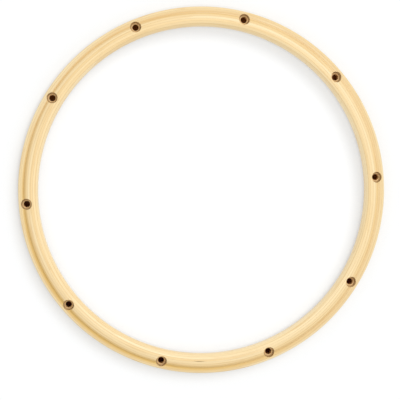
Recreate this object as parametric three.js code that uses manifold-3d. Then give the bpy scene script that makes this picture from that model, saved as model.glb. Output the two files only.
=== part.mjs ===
// Laminated wooden hoop for the batter side of a 14 inch drum, bored for ten tension rods.
// Eight maple plies are bent into rings, scarfed end to end and glued one inside the next.
// The glued ring is then turned to its rounded bead and lower ledge, rebated for the head,
// and bored and counterbored for the rods, which leaves the two middle plies in arcs.
// Millimetres, +Z towards the player. The origin is the centre of the underside.
import * as THREE from "three";
import { mergeVertices } from "three/addons/utils/BufferGeometryUtils.js";
import Module from "manifold-3d";

const wasm = await Module();
wasm.setup();

// Plies, counted from the inside
const ply_count = 8;
const lip_inner_radius = 179;
const ply_thickness = 2.6;
const glue_line = 0.1;
const lip_ply_count = 3;
const ledge_ply_count = 2;

// Heights above the underside
const hoop_height = 26;
const rebate_height = 12;
const bead_drop = 6.5;
const ledge_fall_height = 0.6;

// Turned top, from the inside outwards
const inner_round_width = 5.6;
const inner_round_height = 8;
const crown_width = 1;
const bead_foot_inset = 1.1;
const top_edge_radius = 2.4;
const bottom_edge_break = 0.8;

// Tension rod holes
const rod_count = 10;
const rod_hole_diameter = 7;
const rod_web = 1.15;
const counterbore_diameter = 12;
const counterbore_depth = 5.5;

// Scarf joints of the plies
const scarf_ratio = 5;
const scarf_kerf = 0.15;
const scarf_step_rods = 3;

// Facets and cuts
const ring_segments = 100;
const bore_segments = 24;
const round_steps = 4;
const edge_steps = 2;
const cut_overrun = 5;
const weld_distance = 0.001;

// Radii and heights that follow from the sizes above
const ply_pitch = ply_thickness + glue_line;
const plyInner = (ply) => lip_inner_radius + (ply - 1) * ply_pitch;
const plyOuter = (ply) => plyInner(ply) + ply_thickness;
const hoop_outer_radius = plyOuter(ply_count);
const rebate_radius = plyInner(lip_ply_count + 1);
const bead_outer_radius = plyOuter(ply_count - ledge_ply_count) - bead_foot_inset;
const crown_inner_radius = lip_inner_radius + inner_round_width;
const crown_outer_radius = crown_inner_radius + crown_width;
const ledge_height = hoop_height - bead_drop;
const rod_circle_radius = rebate_radius + rod_web + rod_hole_diameter / 2;
const counterbore_floor = ledge_height - counterbore_depth;
const rod_spacing = (2 * Math.PI) / rod_count;

// How far a quarter round has fallen, as a share of its height, at a share of its width
function roundFall(width_share) {
  return 1 - Math.sqrt(1 - Math.min(width_share, 1) ** 2);
}

// Height of the turned top at a radius: inner round, crown, outer round, sloped ledge
function topHeight(radius) {
  if (radius < crown_inner_radius) {
    const width_share = (crown_inner_radius - radius) / inner_round_width;
    return hoop_height - inner_round_height * roundFall(width_share);
  }
  if (radius <= crown_outer_radius) return hoop_height;
  if (radius <= bead_outer_radius) {
    const width_share = (radius - crown_outer_radius) / (bead_outer_radius - crown_outer_radius);
    return hoop_height - bead_drop * roundFall(width_share);
  }
  const ledge_width = hoop_outer_radius - bead_outer_radius;
  return ledge_height - (ledge_fall_height * (radius - bead_outer_radius)) / ledge_width;
}

// Radii where the turned top changes direction enough to need a point
function topStations() {
  const outer_round_width = bead_outer_radius - crown_outer_radius;
  const stations = [];
  for (let step = 0; step <= round_steps; step++) {
    const turn = (step / round_steps) * (Math.PI / 2);
    stations.push(crown_inner_radius - inner_round_width * Math.cos(turn));
    stations.push(crown_outer_radius + outer_round_width * Math.sin(turn));
  }
  return stations.sort((a, b) => a - b);
}

// A quarter round at an edge of the section, from one turn angle to another
function edgeRound(center_radius, center_height, size, from_turn, to_turn) {
  const points = [];
  for (let step = 0; step <= edge_steps; step++) {
    const turn = from_turn + ((to_turn - from_turn) * step) / edge_steps;
    points.push([center_radius + size * Math.cos(turn), center_height + size * Math.sin(turn)]);
  }
  return points;
}

// Section of one ply as radius and height, anticlockwise from its lower inner corner
function plySection(ply) {
  const inner = plyInner(ply);
  const outer = plyOuter(ply);
  const bottom = ply <= lip_ply_count ? rebate_height : 0;
  const points = [[inner, bottom]];
  let top_outer = outer;
  if (ply === ply_count) {
    const bottom_center = outer - bottom_edge_break;
    const top_center = outer - top_edge_radius;
    const top_center_height = topHeight(top_center) - top_edge_radius;
    points.push(...edgeRound(bottom_center, bottom_edge_break, bottom_edge_break, -Math.PI / 2, 0));
    points.push(...edgeRound(top_center, top_center_height, top_edge_radius, 0, Math.PI / 2));
    top_outer = inner;
  } else {
    points.push([outer, bottom], [outer, topHeight(outer)]);
  }
  const between = topStations().filter(
    (radius) => radius > inner + glue_line && radius < top_outer - glue_line,
  );
  for (const radius of between.reverse()) points.push([radius, topHeight(radius)]);
  points.push([inner, topHeight(inner)]);
  return points;
}

// A closed section turned once round the Z axis
function turned(points, segments) {
  const outline = points.map(([radius, height]) => new THREE.Vector2(radius, height));
  outline.push(outline[0].clone());
  return new THREE.LatheGeometry(outline, segments).rotateX(Math.PI / 2);
}

// A closed geometry as a solid that can be cut
function solid(geometry) {
  const bare = geometry.clone();
  bare.deleteAttribute("normal");
  bare.deleteAttribute("uv");
  const merged = mergeVertices(bare, weld_distance);
  return new wasm.Manifold(
    new wasm.Mesh({
      numProp: 3,
      vertProperties: merged.attributes.position.array,
      triVerts: new Uint32Array(merged.index.array),
    }),
  );
}

// A cut solid as a geometry
function geometryOf(body) {
  const mesh = body.getMesh();
  const geometry = new THREE.BufferGeometry();
  geometry.setAttribute("position", new THREE.BufferAttribute(mesh.vertProperties, mesh.numProp));
  geometry.setIndex(new THREE.BufferAttribute(mesh.triVerts, 1));
  geometry.computeVertexNormals();
  return geometry;
}

// The stepped bore of one rod: a through hole with a flat-floored counterbore over it
function rodBore(index) {
  const bottom = -cut_overrun;
  const top = hoop_height + cut_overrun;
  const hole_radius = rod_hole_diameter / 2;
  const counterbore_radius = counterbore_diameter / 2;
  const bore = turned(
    [
      [0, bottom],
      [hole_radius, bottom],
      [hole_radius, counterbore_floor],
      [counterbore_radius, counterbore_floor],
      [counterbore_radius, top],
      [0, top],
    ],
    bore_segments,
  );
  bore.translate(rod_circle_radius, 0, 0);
  bore.rotateZ(index * rod_spacing);
  return solid(bore);
}

// The long slanting cut where the two ends of a ply meet, midway between two rods
function scarfCut(ply) {
  const middle_radius = (plyInner(ply) + plyOuter(ply)) / 2;
  const run = (ply_thickness + cut_overrun) * scarf_ratio;
  const height = hoop_height + 2 * cut_overrun;
  const kerf = new THREE.BoxGeometry(scarf_kerf, run, height);
  kerf.rotateZ(Math.atan(1 / scarf_ratio));
  kerf.translate(middle_radius, 0, hoop_height / 2);
  kerf.rotateZ((((ply * scarf_step_rods) % rod_count) + 1 / 2) * rod_spacing);
  return solid(kerf);
}

// Angle round the hoop of the middle of a body, from 0 to a full turn
function angleOf(body) {
  const mesh = body.getMesh();
  let x = 0;
  let y = 0;
  for (let vertex = 0; vertex < mesh.numVert; vertex++) {
    x += mesh.vertProperties[vertex * mesh.numProp];
    y += mesh.vertProperties[vertex * mesh.numProp + 1];
  }
  const angle = Math.atan2(y, x);
  return angle < 0 ? angle + 2 * Math.PI : angle;
}

function plyName(ply) {
  if (ply === 1) return "ply_1_inner_face";
  if (ply === ply_count) return `ply_${ply}_outer_face`;
  if (ply <= lip_ply_count) return `ply_${ply}_lip`;
  if (ply > ply_count - ledge_ply_count) return `ply_${ply}_ledge`;
  return `ply_${ply}_core`;
}

// Clear-finished maple, a little deeper in tone on the plies that were laid the other way round
function mapleMaterial(ply) {
  return new THREE.MeshStandardMaterial({
    color: ply % 2 ? 0xf3dcae : 0xefd5a3,
    roughness: 0.42,
    metalness: 0,
  });
}

// One ply ring, bored and scarfed, as the one or more bodies that the boring leaves
function plyMeshes(ply, bores) {
  let ring = solid(turned(plySection(ply), ring_segments));
  for (const bore of bores) ring = ring.subtract(bore);
  ring = ring.subtract(scarfCut(ply));
  const bodies = ring.decompose().sort((a, b) => angleOf(a) - angleOf(b));
  return bodies.map((body, index) => {
    const mesh = new THREE.Mesh(geometryOf(body), mapleMaterial(ply));
    const arc = String(index + 1).padStart(2, "0");
    mesh.name = bodies.length > 1 ? `${plyName(ply)}_arc_${arc}` : plyName(ply);
    return mesh;
  });
}

const hoop = new THREE.Group();
const bores = Array.from({ length: rod_count }, (unused, index) => rodBore(index));
for (let ply = 1; ply <= ply_count; ply++) hoop.add(...plyMeshes(ply, bores));

export default hoop;
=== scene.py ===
import math

import bmesh
import bpy
from mathutils import Matrix, Vector


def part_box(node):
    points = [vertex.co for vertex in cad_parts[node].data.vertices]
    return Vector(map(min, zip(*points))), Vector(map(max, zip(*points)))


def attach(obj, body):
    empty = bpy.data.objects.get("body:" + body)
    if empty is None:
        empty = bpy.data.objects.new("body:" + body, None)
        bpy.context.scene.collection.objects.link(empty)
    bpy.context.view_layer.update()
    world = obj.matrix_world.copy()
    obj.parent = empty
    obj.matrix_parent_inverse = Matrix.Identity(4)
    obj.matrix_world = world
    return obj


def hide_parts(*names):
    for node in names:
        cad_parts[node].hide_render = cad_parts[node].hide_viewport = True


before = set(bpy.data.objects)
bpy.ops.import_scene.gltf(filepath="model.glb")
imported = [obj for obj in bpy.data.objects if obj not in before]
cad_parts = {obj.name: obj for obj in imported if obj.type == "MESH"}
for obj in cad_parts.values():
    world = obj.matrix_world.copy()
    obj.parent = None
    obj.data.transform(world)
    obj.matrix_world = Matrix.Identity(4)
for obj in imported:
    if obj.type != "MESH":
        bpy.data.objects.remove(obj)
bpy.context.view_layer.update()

# A wooden drum hoop: eight maple plies, built round and bored here, and shown in place of their solids

# Sizes in millimetres, the same as the solids have
MM = 0.001
PLY_COUNT = 8
PLY_THICKNESS = 2.6
GLUE_LINE = 0.1
LIP_PLIES = 3
LEDGE_PLIES = 2
INNER_ROUND_WIDTH = 5.6
INNER_ROUND_HEIGHT = 8.0
CROWN_WIDTH = 1.0
FOOT_INSET = 1.1
BEAD_DROP = 6.5
LEDGE_FALL = 0.6
TOP_EDGE_RADIUS = 2.4
BOTTOM_EDGE_BREAK = 0.8
ROD_COUNT = 10
ROD_CIRCLE = 191.75
ROD_HOLE = 7.0
COUNTERBORE = 12.0
COUNTERBORE_DEPTH = 5.5
SCARF_RATIO = 5.0
SCARF_STEP = 3

# Finer sizes that only the looks have: thin gaps, broken edges, and how far the outer face sits in
FILM_GAP = 0.03
SCARF_SLIT = 0.05
SMALL_BREAK = 0.35
RIM_CHAMFER = 0.12
INSET = 0.01

# Steps of the meshes, the least gaps between their points, and the angle of a crisp edge
RING_STEPS = 600
ROUND_STEPS = 30
EDGE_STEPS = 6
BORE_STEPS = 64
FOOT_STEPS = (0.0, 0.02, 0.08, 0.2, 0.45)
STATION_GAP = 0.03
ANGLE_DIGITS = 5
ANGLE_GAP = 0.004
SHARP_ANGLE = math.radians(28)

# How far the cutter of the bores goes below the hoop, above it, and past the rim's chamfer
CUT_BELOW = 5.0
CUT_ABOVE = 8.0
CUT_PROUD = 0.01

quarter_turn = math.pi / 2
rod_spacing = 2 * math.pi / ROD_COUNT


def nodes_of(ply):
    return sorted(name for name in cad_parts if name.startswith(f"ply_{ply}_"))


def box_of(ply):
    """Lowest and highest corner of one ply, in millimetres."""
    ends = [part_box(name) for name in nodes_of(ply)]
    low = [min(end[0][axis] for end in ends) / MM for axis in range(3)]
    high = [max(end[1][axis] for end in ends) / MM for axis in range(3)]
    return low, high


# Radii and heights in millimetres, worked out from the frame
boxes = {ply: box_of(ply) for ply in range(1, PLY_COUNT + 1)}
outer = {ply: max(-low[0], high[0], -low[1], high[1]) for ply, (low, high) in boxes.items()}
inner = {ply: outer[ply] - PLY_THICKNESS for ply in outer}
top_z = max(high[2] for low, high in boxes.values())
crown_in = inner[1] + INNER_ROUND_WIDTH
crown_out = crown_in + CROWN_WIDTH
bead_out = outer[PLY_COUNT - LEDGE_PLIES] - FOOT_INSET
ledge_z = top_z - BEAD_DROP
floor_z = ledge_z - COUNTERBORE_DEPTH
rebate_z = boxes[1][0][2]


def round_fall(share):
    """How far a quarter round has fallen, as a share of its height, at a share of its width."""
    return 1 - math.sqrt(1 - min(max(share, 0), 1) ** 2)


def top_height(radius):
    """Height of the turned top at a radius: inner round, crown, outer round, sloped ledge."""
    if radius < crown_in:
        return top_z - INNER_ROUND_HEIGHT * round_fall((crown_in - radius) / INNER_ROUND_WIDTH)
    if radius <= crown_out:
        return top_z
    if radius <= bead_out:
        return top_z - BEAD_DROP * round_fall((radius - crown_out) / (bead_out - crown_out))
    return ledge_z - LEDGE_FALL * (radius - bead_out) / (outer[PLY_COUNT] - bead_out)


def top_stations():
    """Radii at which the rounds of the turned top have a point."""
    stations = []
    for step in range(ROUND_STEPS + 1):
        turn = step / ROUND_STEPS * quarter_turn
        stations.append(crown_in - INNER_ROUND_WIDTH * math.cos(turn))
        stations.append(crown_out + (bead_out - crown_out) * math.sin(turn))
    return sorted(stations)


def edge_round(center_radius, center_z, size, start, end):
    """A round at an edge of the section, from one turn angle to another."""
    points = []
    for step in range(EDGE_STEPS + 1):
        turn = start + (end - start) * step / EDGE_STEPS
        points.append((center_radius + size * math.cos(turn), center_z + size * math.sin(turn)))
    return points


def ply_section(ply):
    """Section of one ply as radius and height, anticlockwise from its lower inner corner."""
    low = boxes[ply][0][2]
    inside = inner[ply]
    points = [(inside, low)]
    if ply in (1, LIP_PLIES + 1):
        center = inside + SMALL_BREAK, low + SMALL_BREAK
        points = edge_round(*center, SMALL_BREAK, 2 * quarter_turn, 3 * quarter_turn)
    if ply == PLY_COUNT:
        outside = outer[ply] - INSET
        center = outside - BOTTOM_EDGE_BREAK, low + BOTTOM_EDGE_BREAK
        points += edge_round(*center, BOTTOM_EDGE_BREAK, -quarter_turn, 0)
        top_outside = outside - TOP_EDGE_RADIUS
        center = top_outside, top_height(top_outside) - TOP_EDGE_RADIUS
        points += edge_round(*center, TOP_EDGE_RADIUS, 0, quarter_turn)
    else:
        top_outside = outer[ply] + GLUE_LINE - FILM_GAP
        points += [(top_outside, low), (top_outside, top_height(top_outside))]
    start, end = inside + STATION_GAP, top_outside - STATION_GAP
    between = [radius for radius in top_stations() if start < radius < end]
    points += [(radius, top_height(radius)) for radius in reversed(between)]
    points.append((inside, top_height(inside)))
    return points


def scarf_angle(ply):
    """Bearing of a ply's scarf joint, midway between two rods."""
    return ((ply * SCARF_STEP) % ROD_COUNT + 0.5) * rod_spacing


def ply_ring(ply):
    """One ply as a ring that starts and ends at its slanting scarf joint."""
    section = ply_section(ply)
    middle = (inner[ply] + outer[ply]) / 2
    shape = bmesh.new()
    stations = []
    for step in range(RING_STEPS + 1):
        share = step / RING_STEPS
        verts = []
        for radius, z in section:
            slit = SCARF_SLIT / radius
            shift = -(radius - middle) * SCARF_RATIO / radius
            angle = scarf_angle(ply) + shift + slit / 2 + share * (2 * math.pi - slit)
            verts.append(shape.verts.new((radius * math.cos(angle), radius * math.sin(angle), z)))
        stations.append(verts)
    for here, there in zip(stations, stations[1:]):
        for i in range(len(section)):
            j = (i + 1) % len(section)
            shape.faces.new((here[i], there[i], there[j], here[j]))
    shape.faces.new(stations[0])
    shape.faces.new(list(reversed(stations[-1])))
    bmesh.ops.recalc_face_normals(shape, faces=shape.faces)
    return shape


def bore_angles():
    """Angles round one counterbore, closer together where its rim crosses the foot of the bead."""
    rim = COUNTERBORE / 2
    angles = {round(2 * math.pi * step / BORE_STEPS, ANGLE_DIGITS) for step in range(BORE_STEPS)}
    for step in FOOT_STEPS:
        radius = bead_out - step
        cosine = (radius**2 - ROD_CIRCLE**2 - rim**2) / (2 * ROD_CIRCLE * rim)
        crossing = math.acos(cosine)
        angles |= {round(crossing, ANGLE_DIGITS), round(2 * math.pi - crossing, ANGLE_DIGITS)}
    merged = []
    for angle in sorted(angles):
        if not merged or angle - merged[-1] > ANGLE_GAP:
            merged.append(angle)
    return merged


def bore_profile():
    """Sizes and heights of the stepped bore from the bottom up, and which heights are from the top."""
    hole = ROD_HOLE / 2
    rim = COUNTERBORE / 2
    return [
        (hole + SMALL_BREAK, -CUT_BELOW, False),
        (hole + SMALL_BREAK, 0.0, False),
        (hole, SMALL_BREAK, False),
        (hole, floor_z - RIM_CHAMFER, False),
        (hole + RIM_CHAMFER, floor_z, False),
        (rim, floor_z, False),
        (rim, -RIM_CHAMFER, True),
        (rim + RIM_CHAMFER, CUT_PROUD, True),
        (rim + RIM_CHAMFER, top_z + CUT_ABOVE, False),
    ]


def bore_loop(size, height, from_top):
    """Points round one bore on the X axis; its height can follow the turned top."""
    points = []
    for angle in bore_angles():
        x = ROD_CIRCLE + size * math.cos(angle)
        y = size * math.sin(angle)
        z = top_height(math.hypot(x, y)) + height if from_top else height
        points.append(Vector((x, y, z)))
    return points


def bore_cutter(name):
    """Ten stepped bores: through hole, flat floor, counterbore, and a fine chamfer that follows the top."""
    shape = bmesh.new()
    loops = [bore_loop(*step) for step in bore_profile()]
    for index in range(ROD_COUNT):
        turn = Matrix.Rotation(index * rod_spacing, 4, "Z")
        rings = [[shape.verts.new(turn @ point) for point in loop] for loop in loops]
        for below, above in zip(rings, rings[1:]):
            for i in range(len(below)):
                j = (i + 1) % len(below)
                shape.faces.new((below[i], below[j], above[j], above[i]))
        shape.faces.new(list(reversed(rings[0])))
        shape.faces.new(rings[-1])
    bmesh.ops.recalc_face_normals(shape, faces=shape.faces)
    return mesh_object(name, shape)


def new_object(name, data):
    made = bpy.data.objects.new(name, data)
    bpy.context.scene.collection.objects.link(made)
    return made


def mesh_object(name, shape):
    """A bmesh in millimetres as an object in metres."""
    bmesh.ops.scale(shape, vec=(MM, MM, MM), verts=shape.verts)
    mesh = bpy.data.meshes.new(name)
    shape.to_mesh(mesh)
    shape.free()
    return new_object(name, mesh)


def cut(target, cutter):
    """Take the cutter from the target's mesh."""
    modifier = target.modifiers.new("bores", "BOOLEAN")
    modifier.operation = "DIFFERENCE"
    modifier.solver = "EXACT"
    modifier.object = cutter
    bpy.context.view_layer.update()
    evaluated = target.evaluated_get(bpy.context.evaluated_depsgraph_get())
    mesh = bpy.data.meshes.new_from_object(evaluated)
    target.modifiers.clear()
    target.data = mesh


def body_of(start):
    """Indices of all the vertices that edges join to a vertex, its own among them."""
    seen = {start.index}
    stack = [start]
    while stack:
        vert = stack.pop()
        for edge in vert.link_edges:
            other = edge.other_vert(vert)
            if other.index not in seen:
                seen.add(other.index)
                stack.append(other)
    return seen


def loose_parts(source):
    """The separate bodies of a mesh, each as a bmesh in metres."""
    whole = bmesh.new()
    whole.from_mesh(source.data)
    bodies = []
    for vert in whole.verts:
        if not any(vert.index in body for body in bodies):
            bodies.append(body_of(vert))
    whole.free()
    parts = []
    for body in bodies:
        part = bmesh.new()
        part.from_mesh(source.data)
        extra = [vert for vert in part.verts if vert.index not in body]
        bmesh.ops.delete(part, geom=extra, context="VERTS")
        parts.append(part)
    return parts


def soften(made):
    """Smooth shading with crisp edges."""
    mesh = made.data
    mesh.polygons.foreach_set("use_smooth", [True] * len(mesh.polygons))
    mesh.set_sharp_from_angle(angle=SHARP_ANGLE)


class Tree:
    """A few short ways to add shader nodes."""

    def __init__(self, material):
        material.use_nodes = True
        self.nodes = material.node_tree.nodes
        self.links = material.node_tree.links
        self.shader = self.nodes["Principled BSDF"]

    def put(self, value, socket):
        if isinstance(value, bpy.types.NodeSocket):
            self.links.new(value, socket)
        else:
            socket.default_value = value

    def fill(self, node, values):
        for value, socket in zip(values, node.inputs):
            self.put(value, socket)
        return node.outputs[0]

    def math(self, operation, *values):
        node = self.nodes.new("ShaderNodeMath")
        node.operation = operation
        return self.fill(node, values)

    def plus(self, total, *others):
        for value in others:
            total = self.math("ADD", total, value)
        return total

    def times(self, product, *others):
        for value in others:
            product = self.math("MULTIPLY", product, value)
        return product

    def minus(self, a, b):
        return self.math("SUBTRACT", a, b)

    def over(self, a, b):
        return self.math("DIVIDE", a, b)

    def either(self, a, b):
        return self.math("MAXIMUM", a, b)

    def away(self, value, place):
        return self.math("ABSOLUTE", self.minus(value, place))

    def length(self, x, y):
        return self.math("SQRT", self.plus(self.times(x, x), self.times(y, y)))

    def between(self, value, start, end, out_start=0.0, out_end=1.0):
        """A smooth step from one output to the other as the value goes from start to end."""
        node = self.nodes.new("ShaderNodeMapRange")
        node.interpolation_type = "SMOOTHSTEP"
        return self.fill(node, (value, start, end, out_start, out_end))

    def fade(self, value, place, ends, most=1.0):
        """A smooth step from nothing to the most between two ends measured from a place."""
        return self.between(value, place + ends[0], place + ends[1], 0.0, most)

    def split(self, vector):
        node = self.nodes.new("ShaderNodeSeparateXYZ")
        self.put(vector, node.inputs[0])
        return node.outputs

    def vector(self, x, y, z):
        return self.fill(self.nodes.new("ShaderNodeCombineXYZ"), (x, y, z))

    def place(self):
        """The point on the piece in millimetres: as a vector, as x, y and z, and its radius."""
        scale = self.nodes.new("ShaderNodeVectorMath")
        scale.operation = "SCALE"
        self.put(self.nodes.new("ShaderNodeTexCoord").outputs["Object"], scale.inputs[0])
        self.put(1 / MM, scale.inputs["Scale"])
        x, y, z = self.split(scale.outputs[0])
        return scale.outputs[0], x, y, z, self.length(x, y)

    def toward(self, x, y, radius, bearing):
        """How far the point lies to one side of the ring, from -1 to 1."""
        x_part = self.times(x, math.cos(bearing))
        y_part = self.times(y, math.sin(bearing))
        return self.over(self.plus(x_part, y_part), radius)

    def stretch(self, vector, lengths, offset):
        """The vector divided by a length along each axis, then moved."""
        node = self.nodes.new("ShaderNodeMapping")
        self.put(vector, node.inputs["Vector"])
        self.put([1 / length for length in lengths], node.inputs["Scale"])
        self.put(offset, node.inputs["Location"])
        return node.outputs[0]

    def noise(self, vector, detail=2.0, roughness=0.5, distortion=0.0):
        node = self.nodes.new("ShaderNodeTexNoise")
        self.put(vector, node.inputs["Vector"])
        self.put(1.0, node.inputs["Scale"])
        self.put(detail, node.inputs["Detail"])
        self.put(roughness, node.inputs["Roughness"])
        self.put(distortion, node.inputs["Distortion"])
        return node.outputs["Fac"]

    def mix(self, factor, a, b, blend="MIX"):
        node = self.nodes.new("ShaderNodeMix")
        node.data_type = "RGBA"
        node.blend_type = blend
        node.clamp_factor = True
        self.put(factor, node.inputs["Factor"])
        self.put(a, node.inputs[6])
        self.put(b, node.inputs[7])
        return node.outputs[2]


# Grain: a noise's lengths along the ply, through it and up, its offset, detail, roughness, distortion
GRAIN = {
    "drift": ((240, 5, 16), (0, 3.1, 7.7), 2.0, 0.5, 0.0),
    "streak": ((120, 0.9, 1.9), (5, 1.7, 2.9), 4.0, 0.55, 0.4),
    "fibre": ((16, 0.13, 0.24), (9, 5.3, 4.1), 3.0, 0.6, 0.0),
    "sway": ((170, 6, 11), (13, 8.9, 6.3), 2.0, 0.5, 0.3),
    "dash": ((3.2, 0.16, 0.34), (21, 2.2, 9.4), 1.0, 0.4, 0.0),
}
PLY_SEED = 17.3
RINGS_PER_MM_UP = 0.16
RINGS_PER_MM_THROUGH = 0.42
RING_SWAY = 5.0
NOISE_MIDDLE = 0.5
LATE_START = (0.55, 0.93)
LATE_END = (1.0, 0.94)
FLECK_START = (0.70, 0.78)

# Detail and roughness of the noise that tool marks are made of
TOOL_MARK_NOISE = (2.0, 0.6)


class Grain:
    """Where a point of one ply lies, in millimetres, and what the wood is like there."""

    def __init__(self, tree, ply):
        self.ply = ply
        self.seed = ply * PLY_SEED
        point, self.x, self.y, self.z, self.radius = tree.place()
        self.depth = tree.minus(self.radius, inner[ply])
        self.find_scarf(tree, point)
        self.find_hole(tree)
        self.find_grain(tree)

    def find_scarf(self, tree, point):
        """Distance along the ply, and distance from its slanting scarf joint."""
        middle = (inner[self.ply] + outer[self.ply]) / 2
        lean = tree.over(tree.minus(self.radius, middle), tree.over(self.radius, SCARF_RATIO))
        spin = tree.nodes.new("ShaderNodeVectorRotate")
        spin.rotation_type = "Z_AXIS"
        tree.put(point, spin.inputs["Vector"])
        tree.put(tree.plus(lean, -(scarf_angle(self.ply) + math.pi)), spin.inputs["Angle"])
        x, y, _ = tree.split(spin.outputs[0])
        angle = tree.math("ARCTAN2", y, x)
        self.along = tree.times(angle, middle)
        self.to_scarf = tree.times(tree.minus(math.pi, tree.math("ABSOLUTE", angle)), middle)

    def find_hole(self, tree):
        """Bearing, bearing from the nearest rod hole, and distance from the axis of that hole."""
        self.bearing = tree.math("ARCTAN2", self.y, self.x)
        shifted = tree.plus(self.bearing, rod_spacing / 2)
        folded = tree.math("FLOORED_MODULO", shifted, rod_spacing)
        self.from_rod = tree.minus(folded, rod_spacing / 2)
        outward = tree.minus(tree.times(self.radius, tree.math("COSINE", self.from_rod)), ROD_CIRCLE)
        sideways = tree.times(self.radius, tree.math("SINE", self.from_rod))
        self.to_hole = tree.length(outward, sideways)

    def find_grain(self, tree):
        """Slow drift of tone, streaks, fibres, late wood lines and short flecks."""
        where = tree.vector(self.along, self.depth, self.z)
        noises = {}
        for name, (lengths, (along, through, up), *settings) in GRAIN.items():
            moved = tree.stretch(where, lengths, (self.seed + along, through, up))
            noises[name] = tree.noise(moved, *settings)
        self.drift = noises["drift"]
        self.streak = noises["streak"]
        self.fibre = noises["fibre"]
        self.flecks = tree.between(noises["dash"], *FLECK_START)
        rings_up = tree.times(self.z, RINGS_PER_MM_UP)
        rings_through = tree.times(self.depth, RINGS_PER_MM_THROUGH)
        rings = tree.plus(rings_up, rings_through, tree.times(noises["sway"], RING_SWAY))
        rings = tree.math("FRACT", rings)
        self.late = tree.times(tree.between(rings, *LATE_START), tree.between(rings, *LATE_END))


# Wood colours. A tone's tuple says where in the noise it starts and is full, then its least and most.
PALE = (0.821, 0.670, 0.407, 1)
WARM = (0.765, 0.566, 0.286, 1)
LATE = (0.671, 0.444, 0.195, 1)
FLECK = (0.516, 0.296, 0.124, 1)
WARM_DRIFT = (0.3, 0.7, 0.0, 1.0)
WARM_STREAKS = (0.48, 0.78, 0.0, 0.75)
PALE_STREAKS = (0.46, 0.24, 0.0, 0.6)
DARK_FIBRES = (0.52, 0.8, 0.0, 0.38)
LATE_SHARE = 0.42
FLECK_SHARE = 0.45
PLAIN_TONE = (1.0, 1.0, 1.0, 1)
LIP_TONE = (1.03, 1.04, 1.06, 1)
# The ledge's darker tone is painted shade beside the bead
LEDGE_SHADE_TONE = (0.955, 0.955, 0.945, 1)


def tone_of(ply):
    if ply <= LIP_PLIES:
        return LIP_TONE
    return LEDGE_SHADE_TONE if ply > PLY_COUNT - LEDGE_PLIES else PLAIN_TONE


def wood_color(tree, grain):
    """Maple under a clear finish, a little lighter on the lip, and darker on the ledge as painted shade
    beside the bead.
    """
    color = tree.mix(tree.between(grain.drift, *WARM_DRIFT), PALE, WARM)
    color = tree.mix(tree.between(grain.streak, *WARM_STREAKS), color, WARM)
    color = tree.mix(tree.between(grain.streak, *PALE_STREAKS), color, PALE)
    color = tree.mix(tree.times(grain.late, LATE_SHARE), color, LATE)
    color = tree.mix(tree.between(grain.fibre, *DARK_FIBRES), color, LATE)
    color = tree.mix(tree.times(grain.flecks, FLECK_SHARE), color, FLECK)
    return tree.mix(1.0, color, tone_of(grain.ply), "MULTIPLY")


# Joints: the depths over which a ply's glue lines come in, and the distances over which its scarf does
GLUE = (0.533, 0.339, 0.149, 1)
OUTER_GLUE = (-0.10, 0.0)
INNER_GLUE = (0.09, 0.0)
SCARF_LINE = (0.16, 0.03)
GLUE_SHARE = 0.75


def joint_lines(tree, grain):
    """Where glue lines show on the turned surfaces, and where the scarf joint does."""
    on_outside = tree.fade(grain.depth, PLY_THICKNESS, OUTER_GLUE)
    on_inside = tree.between(grain.depth, *INNER_GLUE)
    if grain.ply == LIP_PLIES + 1:
        above_rebate = tree.math("GREATER_THAN", grain.z, rebate_z)
        on_inside = tree.times(on_inside, above_rebate)
    if grain.ply == 1:
        glue = on_outside
    elif grain.ply == PLY_COUNT:
        glue = on_inside
    else:
        glue = tree.either(on_outside, on_inside)
    return tree.either(glue, tree.between(grain.to_scarf, *SCARF_LINE))


# The one mineral streak: its place, its size, how much the fibres fray it, and how it fades outwards
MINERAL = (0.160, 0.075, 0.025, 1)
MARK_BEARING = math.radians(-95.6)
MARK_RADIUS = 186.4
MARK_HALF_LENGTH = 6.5
MARK_HALF_WIDTH = 0.42
MARK_FRAY = 4.0
MARK_EDGE = (1.2, -0.1, 0.0, 0.9)


def mineral_streak(tree, grain, color):
    """One short dark streak along the grain of the lip."""
    run = tree.over(tree.minus(grain.bearing, MARK_BEARING), MARK_HALF_LENGTH / MARK_RADIUS)
    width = tree.over(tree.minus(grain.radius, MARK_RADIUS), MARK_HALF_WIDTH)
    fray = tree.times(tree.minus(grain.fibre, NOISE_MIDDLE), MARK_FRAY)
    away = tree.plus(tree.times(run, run), tree.times(width, width), fray)
    on_top = tree.math("GREATER_THAN", grain.z, ledge_z)
    return tree.mix(tree.times(tree.between(away, *MARK_EDGE), on_top), color, MINERAL)


# Painted shade at the foot of the bead: a band's middle from the bead's foot, its half width, and that of
# its full part
FOOT_SHADE = (0.660, 0.410, 0.130, 1)
CREASE_SHADE = (0.360, 0.180, 0.045, 1)
POOL_SHADE = (0.665, 0.430, 0.115, 1)
FOOT_SHADE_BAND = (-1.0, 3.6, 0.2)
CREASE_SHADE_BAND = (0.0, 0.75, 0.1)
POOL_SHADE_BAND = (0.8, 3.8, 0.5)
FOOT_IN_STREAKS = (0.25, 0.7, 0.2, 0.6)
CREASE_IN_DRIFT = (0.35, 0.65, 0.05, 0.28)
CREASE_BY_SIDE = (-0.4, 0.8, 0.2, 1.0)
POOL_BY_SIDE = (0.1, 1.0, 0.0, 0.8)
SHADE_POOL_BEARING = math.radians(225.5)
LEDGE_FADE = (-0.9, -0.5)


def foot_band(tree, grain, middle, half_width, full_half_width):
    """A band round the bead, full near its middle and gone beyond its half width."""
    from_middle = tree.away(grain.radius, bead_out + middle)
    return tree.between(from_middle, half_width, full_half_width)


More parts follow.
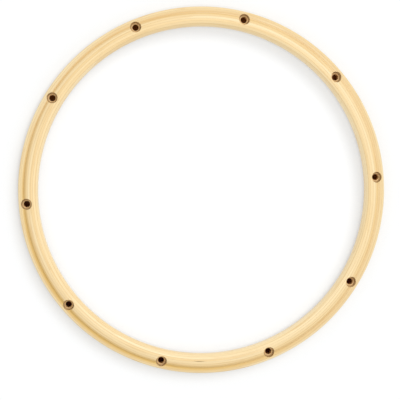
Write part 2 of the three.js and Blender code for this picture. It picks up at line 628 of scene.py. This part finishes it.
def painted_foot_shade(tree, grain, color):
    """Painted shade at the foot of the bead: a soft band, a crease that is darker on the side away from the
    key light, and a pool of shade on that side.
    """
    on_top = tree.fade(grain.z, ledge_z, LEDGE_FADE)
    side = tree.toward(grain.x, grain.y, grain.radius, SHADE_POOL_BEARING)
    in_streaks = tree.between(grain.streak, *FOOT_IN_STREAKS)
    foot = tree.times(foot_band(tree, grain, *FOOT_SHADE_BAND), on_top, in_streaks)
    color = tree.mix(foot, color, FOOT_SHADE)
    in_drift = tree.between(grain.drift, *CREASE_IN_DRIFT)
    crease = tree.times(foot_band(tree, grain, *CREASE_SHADE_BAND), on_top, in_drift)
    crease = tree.times(crease, tree.between(side, *CREASE_BY_SIDE))
    color = tree.mix(crease, color, CREASE_SHADE)
    pool = tree.times(foot_band(tree, grain, *POOL_SHADE_BAND), on_top, tree.between(side, *POOL_BY_SIDE))
    return tree.mix(pool, color, POOL_SHADE)


# Unfinished wood on the underside and in the rebate
RAW = (0.800, 0.690, 0.510, 1)
RAW_SHARE = 0.62
UNDERSIDE_FADE = (0.3, 0.1)
REBATE_FADE = (0.5, 0.2)


def raw_wood(tree, grain, color):
    """Raw underside, raw roof of the rebate under the lip, and raw wall of the rebate."""
    if grain.ply <= LIP_PLIES:
        bare = tree.fade(grain.z, rebate_z, REBATE_FADE)
    else:
        bare = tree.between(grain.z, *UNDERSIDE_FADE)
    if grain.ply == LIP_PLIES + 1:
        in_rebate = tree.math("LESS_THAN", grain.z, rebate_z)
        wall = tree.times(tree.between(grain.depth, *REBATE_FADE), in_rebate)
        bare = tree.either(bare, wall)
    return tree.mix(tree.times(bare, RAW_SHARE), color, RAW)


# Bores: heights from the counterbore's floor, and distances from the wall of the counterbore or hole
CUT_WOOD = (0.860, 0.620, 0.330, 1)
# The dark in the counterbore's corner is burn and painted shade; the deep colour of the hole is painted
# shade
BURNT_AND_SHADED = (0.110, 0.050, 0.018, 1)
HOLE_WOOD = (0.880, 0.660, 0.400, 1)
HOLE_DEEP_SHADE = (0.620, 0.330, 0.120, 1)
COUNTERBORE_START = (-0.6, -0.3)
FLOOR_HEIGHT = (0.7, 0.2)
FLOOR_EDGE = (0.02, -0.02)
SCORCH_SHADE_HEIGHT = (2.2, 0.3)
SCORCH_SHADE_START = (-1.7, -1.2)
SCORCH_SHADE_END = (0.12, 0.05)
HOLE_EDGE = (0.28, 0.05)
HOLE_SHADE_DEPTHS = (-0.6, -12.0)
TOOL_RINGS_PER_MM = 3.2
TOOL_RING_TONE = (0.4, 0.7, 0.0, 0.5)
PATCHES_PER_RADIAN = 160
PATCHES_PER_MM = 0.5
SCORCH_SHADE_TONE = (0.3, 0.7, 0.3, 0.55)
HOLE_TONE = (0.3, 0.7, 0.7, 0.95)


def tooled_wood(tree, grain):
    """Fresh wood with the fine rings that the cutter leaves round a hole."""
    place = tree.vector(tree.times(grain.to_hole, TOOL_RINGS_PER_MM), 0.0, grain.seed)
    rings = tree.noise(place, *TOOL_MARK_NOISE)
    return tree.mix(tree.between(rings, *TOOL_RING_TONE), CUT_WOOD, LATE)


def bored_wood(tree, grain, color):
    """Raw floor of the counterbore, burnt and darkened by painted shade at its edge and up its wall, and a
    hole darkened with depth by painted shade.

    The second thing it gives is where that wood is open.
    """
    rim = COUNTERBORE / 2
    in_counterbore = tree.fade(grain.z, floor_z, COUNTERBORE_START)
    near_floor = tree.times(tree.fade(grain.z, floor_z, FLOOR_HEIGHT), in_counterbore)
    on_floor = tree.times(tree.fade(grain.to_hole, rim, FLOOR_EDGE), near_floor)
    color = tree.mix(on_floor, color, tooled_wood(tree, grain))

    patch_along = tree.times(grain.from_rod, PATCHES_PER_RADIAN)
    burn_shade_patches = tree.noise(tree.vector(patch_along, tree.times(grain.z, PATCHES_PER_MM), grain.seed))
    # Burn and painted shade in the corner of the counterbore, on its floor and up its wall
    scorch_and_shade = tree.times(tree.fade(grain.z, floor_z, SCORCH_SHADE_HEIGHT), in_counterbore)
    scorch_and_shade = tree.times(scorch_and_shade, tree.fade(grain.to_hole, rim, SCORCH_SHADE_START))
    scorch_and_shade = tree.times(scorch_and_shade, tree.fade(grain.to_hole, rim, SCORCH_SHADE_END))
    color = tree.mix(tree.times(scorch_and_shade, tree.between(burn_shade_patches, *SCORCH_SHADE_TONE)), color, BURNT_AND_SHADED)

    hole_wall = tree.fade(grain.to_hole, ROD_HOLE / 2, HOLE_EDGE)
    # Painted shade: the hole darker with depth
    hole_color = tree.mix(tree.fade(grain.z, floor_z, HOLE_SHADE_DEPTHS), HOLE_WOOD, HOLE_DEEP_SHADE)
    color = tree.mix(tree.times(hole_wall, tree.between(burn_shade_patches, *HOLE_TONE)), color, hole_color)
    return color, tree.either(on_floor, hole_wall)


# Satin finish: roughness by the streaks, the roughness that open wood adds, and the clear coat
SATIN_ROUGHNESS = (0.3, 0.7, 0.42, 0.5)
OPEN_ROUGHNESS = 0.4
COAT_WEIGHT = 0.08
COAT_ROUGHNESS = 0.22
FINISH_IOR = 1.48
SPECULAR_LEVEL = 0.35


def satin(tree, grain, open_wood):
    """Satin finish, duller in the bores."""
    rough = tree.between(grain.streak, *SATIN_ROUGHNESS)
    rough = tree.plus(rough, tree.times(open_wood, OPEN_ROUGHNESS))
    tree.put(rough, tree.shader.inputs["Roughness"])
    tree.shader.inputs["Coat Weight"].default_value = COAT_WEIGHT
    tree.shader.inputs["Coat Roughness"].default_value = COAT_ROUGHNESS
    tree.shader.inputs["IOR"].default_value = FINISH_IOR
    tree.shader.inputs["Specular IOR Level"].default_value = SPECULAR_LEVEL


# Relief: its depth in millimetres and its strength, and how far each kind of mark lifts the surface
RELIEF_DEPTH = 0.06
RELIEF_STRENGTH = 0.35
TURNING_MARKS_PER_MM = 2.4
FIBRE_LIFT = 0.5
LATE_LIFT = 0.25
TURNING_LIFT = 0.35
FLECK_LIFT = -0.3
JOINT_LIFT = -0.5


def turning_marks(tree, grain):
    """Marks that the turning tool leaves round the faces."""
    outward = tree.times(grain.radius, TURNING_MARKS_PER_MM)
    upward = tree.times(grain.z, TURNING_MARKS_PER_MM)
    return tree.noise(tree.vector(outward, upward, grain.seed), *TOOL_MARK_NOISE)


def relief(tree, grain, joints):
    """Fine relief: fibres, late wood and tool marks stand up, flecks and joints lie low."""
    height = tree.plus(
        tree.times(grain.fibre, FIBRE_LIFT),
        tree.times(grain.late, LATE_LIFT),
        tree.times(turning_marks(tree, grain), TURNING_LIFT),
        tree.times(grain.flecks, FLECK_LIFT),
        tree.times(joints, JOINT_LIFT),
    )
    bump = tree.nodes.new("ShaderNodeBump")
    bump.inputs["Strength"].default_value = RELIEF_STRENGTH
    bump.inputs["Distance"].default_value = RELIEF_DEPTH * MM
    tree.put(height, bump.inputs["Height"])
    tree.put(bump.outputs[0], tree.shader.inputs["Normal"])


def maple(ply):
    """Clear-finished maple of one ply: grain runs round the hoop and meets itself at the scarf."""
    material = bpy.data.materials.new(f"maple_ply_{ply}")
    tree = Tree(material)
    grain = Grain(tree, ply)
    joints = joint_lines(tree, grain)
    color = tree.mix(tree.times(joints, GLUE_SHARE), wood_color(tree, grain), GLUE)
    if ply == LIP_PLIES:
        color = mineral_streak(tree, grain, color)
    # Painted shade at the foot of the bead, deeper on one side
    color = painted_foot_shade(tree, grain, color)
    color = raw_wood(tree, grain, color)
    color, open_wood = bored_wood(tree, grain, color)
    tree.put(color, tree.shader.inputs["Base Color"])
    satin(tree, grain, open_wood)
    relief(tree, grain, joints)
    return material


def stand_in(made, name, material):
    """Show a body of one ply in place of its solid."""
    made.name = f"{name}_wood"
    made.data.name = made.name
    made.data.materials.clear()
    made.data.materials.append(material)
    soften(made)
    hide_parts(name)
    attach(made, "root")


def nearest(names, part):
    """The node whose box has its middle nearest to a body."""
    middle = sum((vert.co for vert in part.verts), Vector()) / len(part.verts)
    return min(names, key=lambda name: (sum(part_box(name), Vector()) / 2 - middle).length)


def show_ply(ply, cutter):
    """One ply, cut by the bores if they reach it, with one body for each of its solids."""
    material = maple(ply)
    ring = mesh_object(f"ply_{ply}_ring", ply_ring(ply))
    if outer[ply] > ROD_CIRCLE - COUNTERBORE / 2:
        cut(ring, cutter)
    names = nodes_of(ply)
    if len(names) == 1:
        stand_in(ring, names[0], material)
        return
    parts = loose_parts(ring)
    if len(parts) != len(names):
        raise RuntimeError(f"ply {ply} has {len(parts)} bodies for {len(names)} solids")
    for part in parts:
        name = nearest(names, part)
        names.remove(name)
        mesh = bpy.data.meshes.new(name)
        part.to_mesh(mesh)
        part.free()
        stand_in(new_object(name, mesh), name, material)
    bpy.data.objects.remove(ring)


cutter = bore_cutter("bore_cutter")
for ply in range(1, PLY_COUNT + 1):
    show_ply(ply, cutter)
bpy.data.objects.remove(cutter)

# Floor in millimetres: its size, and where it lies hidden under the hoop or glows away from it
FLOOR_REACH = 3000
FLOOR_DROP = 0.02
FLOOR_ROUGHNESS = 0.9
PAPER = (0.480, 0.480, 0.480, 1)
# Painted shade under the hoop, a lit and a shaded copy
UNDER_HOOP_PAINTED_LIT = (0.330, 0.120, 0.025, 1)
UNDER_HOOP_PAINTED_SHADE = (0.100, 0.015, 0.004, 1)
UNDER_BEARING = math.radians(262)
UNDER_BY_SIDE = (-0.6, 0.6)
HIDDEN_START = (0.0, 1.0)
HIDDEN_END = (-2.0, -4.0)
GLOW_COLOR = (0.97, 1.0, 1.03, 1)
INNER_GLOW_FADE = (8.5, -2.0)
OUTER_GLOW_FADE = (-5.0, 5.0)
INNER_GLOW = 0.471
OUTER_GLOW = 0.421


def floor_paper():
    """Pale paper that glows a little away from the hoop, so that the shadows stay light.

    Under the hoop, where only the rod holes show it, it is painted shade: dark brown, and darker on one
    side.
    """
    material = bpy.data.materials.new("floor_paper")
    tree = Tree(material)
    _, x, y, _, radius = tree.place()
    edge = outer[PLY_COUNT]
    past_rebate = tree.fade(radius, inner[LIP_PLIES + 1], HIDDEN_START)
    hidden = tree.times(past_rebate, tree.fade(radius, edge, HIDDEN_END))
    side = tree.toward(x, y, radius, UNDER_BEARING)
    # Painted shade under the hoop, darker on one side
    painted_shade_under_hoop = tree.mix(tree.between(side, *UNDER_BY_SIDE), UNDER_HOOP_PAINTED_LIT, UNDER_HOOP_PAINTED_SHADE)
    tree.put(tree.mix(hidden, PAPER, painted_shade_under_hoop), tree.shader.inputs["Base Color"])
    inner_glow = tree.fade(radius, inner[1], INNER_GLOW_FADE, INNER_GLOW)
    outer_glow = tree.fade(radius, edge, OUTER_GLOW_FADE, OUTER_GLOW)
    tree.put(tree.either(inner_glow, outer_glow), tree.shader.inputs["Emission Strength"])
    tree.shader.inputs["Emission Color"].default_value = GLOW_COLOR
    tree.shader.inputs["Roughness"].default_value = FLOOR_ROUGHNESS
    return material


sheet = bmesh.new()
signs = ((-1, -1), (1, -1), (1, 1), (-1, 1))
sheet.faces.new([sheet.verts.new((x * FLOOR_REACH, y * FLOOR_REACH, -FLOOR_DROP)) for x, y in signs])
floor = mesh_object("floor", sheet)
floor.data.materials.append(floor_paper())

# Soft studio light. Its bearing is the photograph's, which sees the hoop turned by PHOTO_TURN.
PHOTO_TURN = math.radians(4.45)
SKY_COLOR = (1, 1, 1, 1)
SKY_STRENGTH = 0.94
KEY_BEARING = math.radians(50)
KEY_ELEVATION = math.radians(58)
KEY_STRENGTH = 1.1
KEY_SPREAD = math.radians(32)

world = bpy.data.worlds.new("studio")
world.use_nodes = True
sky = world.node_tree.nodes["Background"]
sky.inputs["Color"].default_value = SKY_COLOR
sky.inputs["Strength"].default_value = SKY_STRENGTH
bpy.context.scene.world = world

key_data = bpy.data.lights.new("key", "SUN")
key_data.energy = KEY_STRENGTH
key_data.angle = KEY_SPREAD
key = new_object("key", key_data)
bearing = KEY_BEARING - PHOTO_TURN
level = math.cos(KEY_ELEVATION)
to_key = Vector((math.cos(bearing) * level, math.sin(bearing) * level, math.sin(KEY_ELEVATION)))
key.rotation_mode = "QUATERNION"
key.rotation_quaternion = to_key.to_track_quat("Z", "Y")

# Camera in millimetres: nearly straight above, a little towards the left and the top of the photograph
CAMERA_PLACE = Vector((-100.0, 45.0, 1590.0))
CAMERA_AIM = Vector((-2.9, -10.24, 20.0))
PIXELS_PER_MM = 0.9162
IMAGE_PIXELS = 400
SENSOR_WIDTH = 36
VIEW_REACH = 20000

to_part = Matrix.Rotation(-PHOTO_TURN, 3, "Z")
place = to_part @ CAMERA_PLACE
aim = to_part @ CAMERA_AIM
back = (place - aim).normalized()
right = to_part @ Vector((1, 0, 0))
right = (right - right.dot(back) * back).normalized()
up = back.cross(right)
camera_data = bpy.data.cameras.new("camera")
camera_data.sensor_width = SENSOR_WIDTH
camera_data.lens = SENSOR_WIDTH * PIXELS_PER_MM * (place - aim).length / IMAGE_PIXELS
camera_data.clip_end = VIEW_REACH * MM
camera = new_object("camera", camera_data)
camera.location = place * MM
camera.rotation_mode = "QUATERNION"
camera.rotation_quaternion = Matrix((right, up, back)).transposed().to_quaternion()
bpy.context.scene.camera = camera
bpy.context.scene.view_settings.view_transform = "Standard"
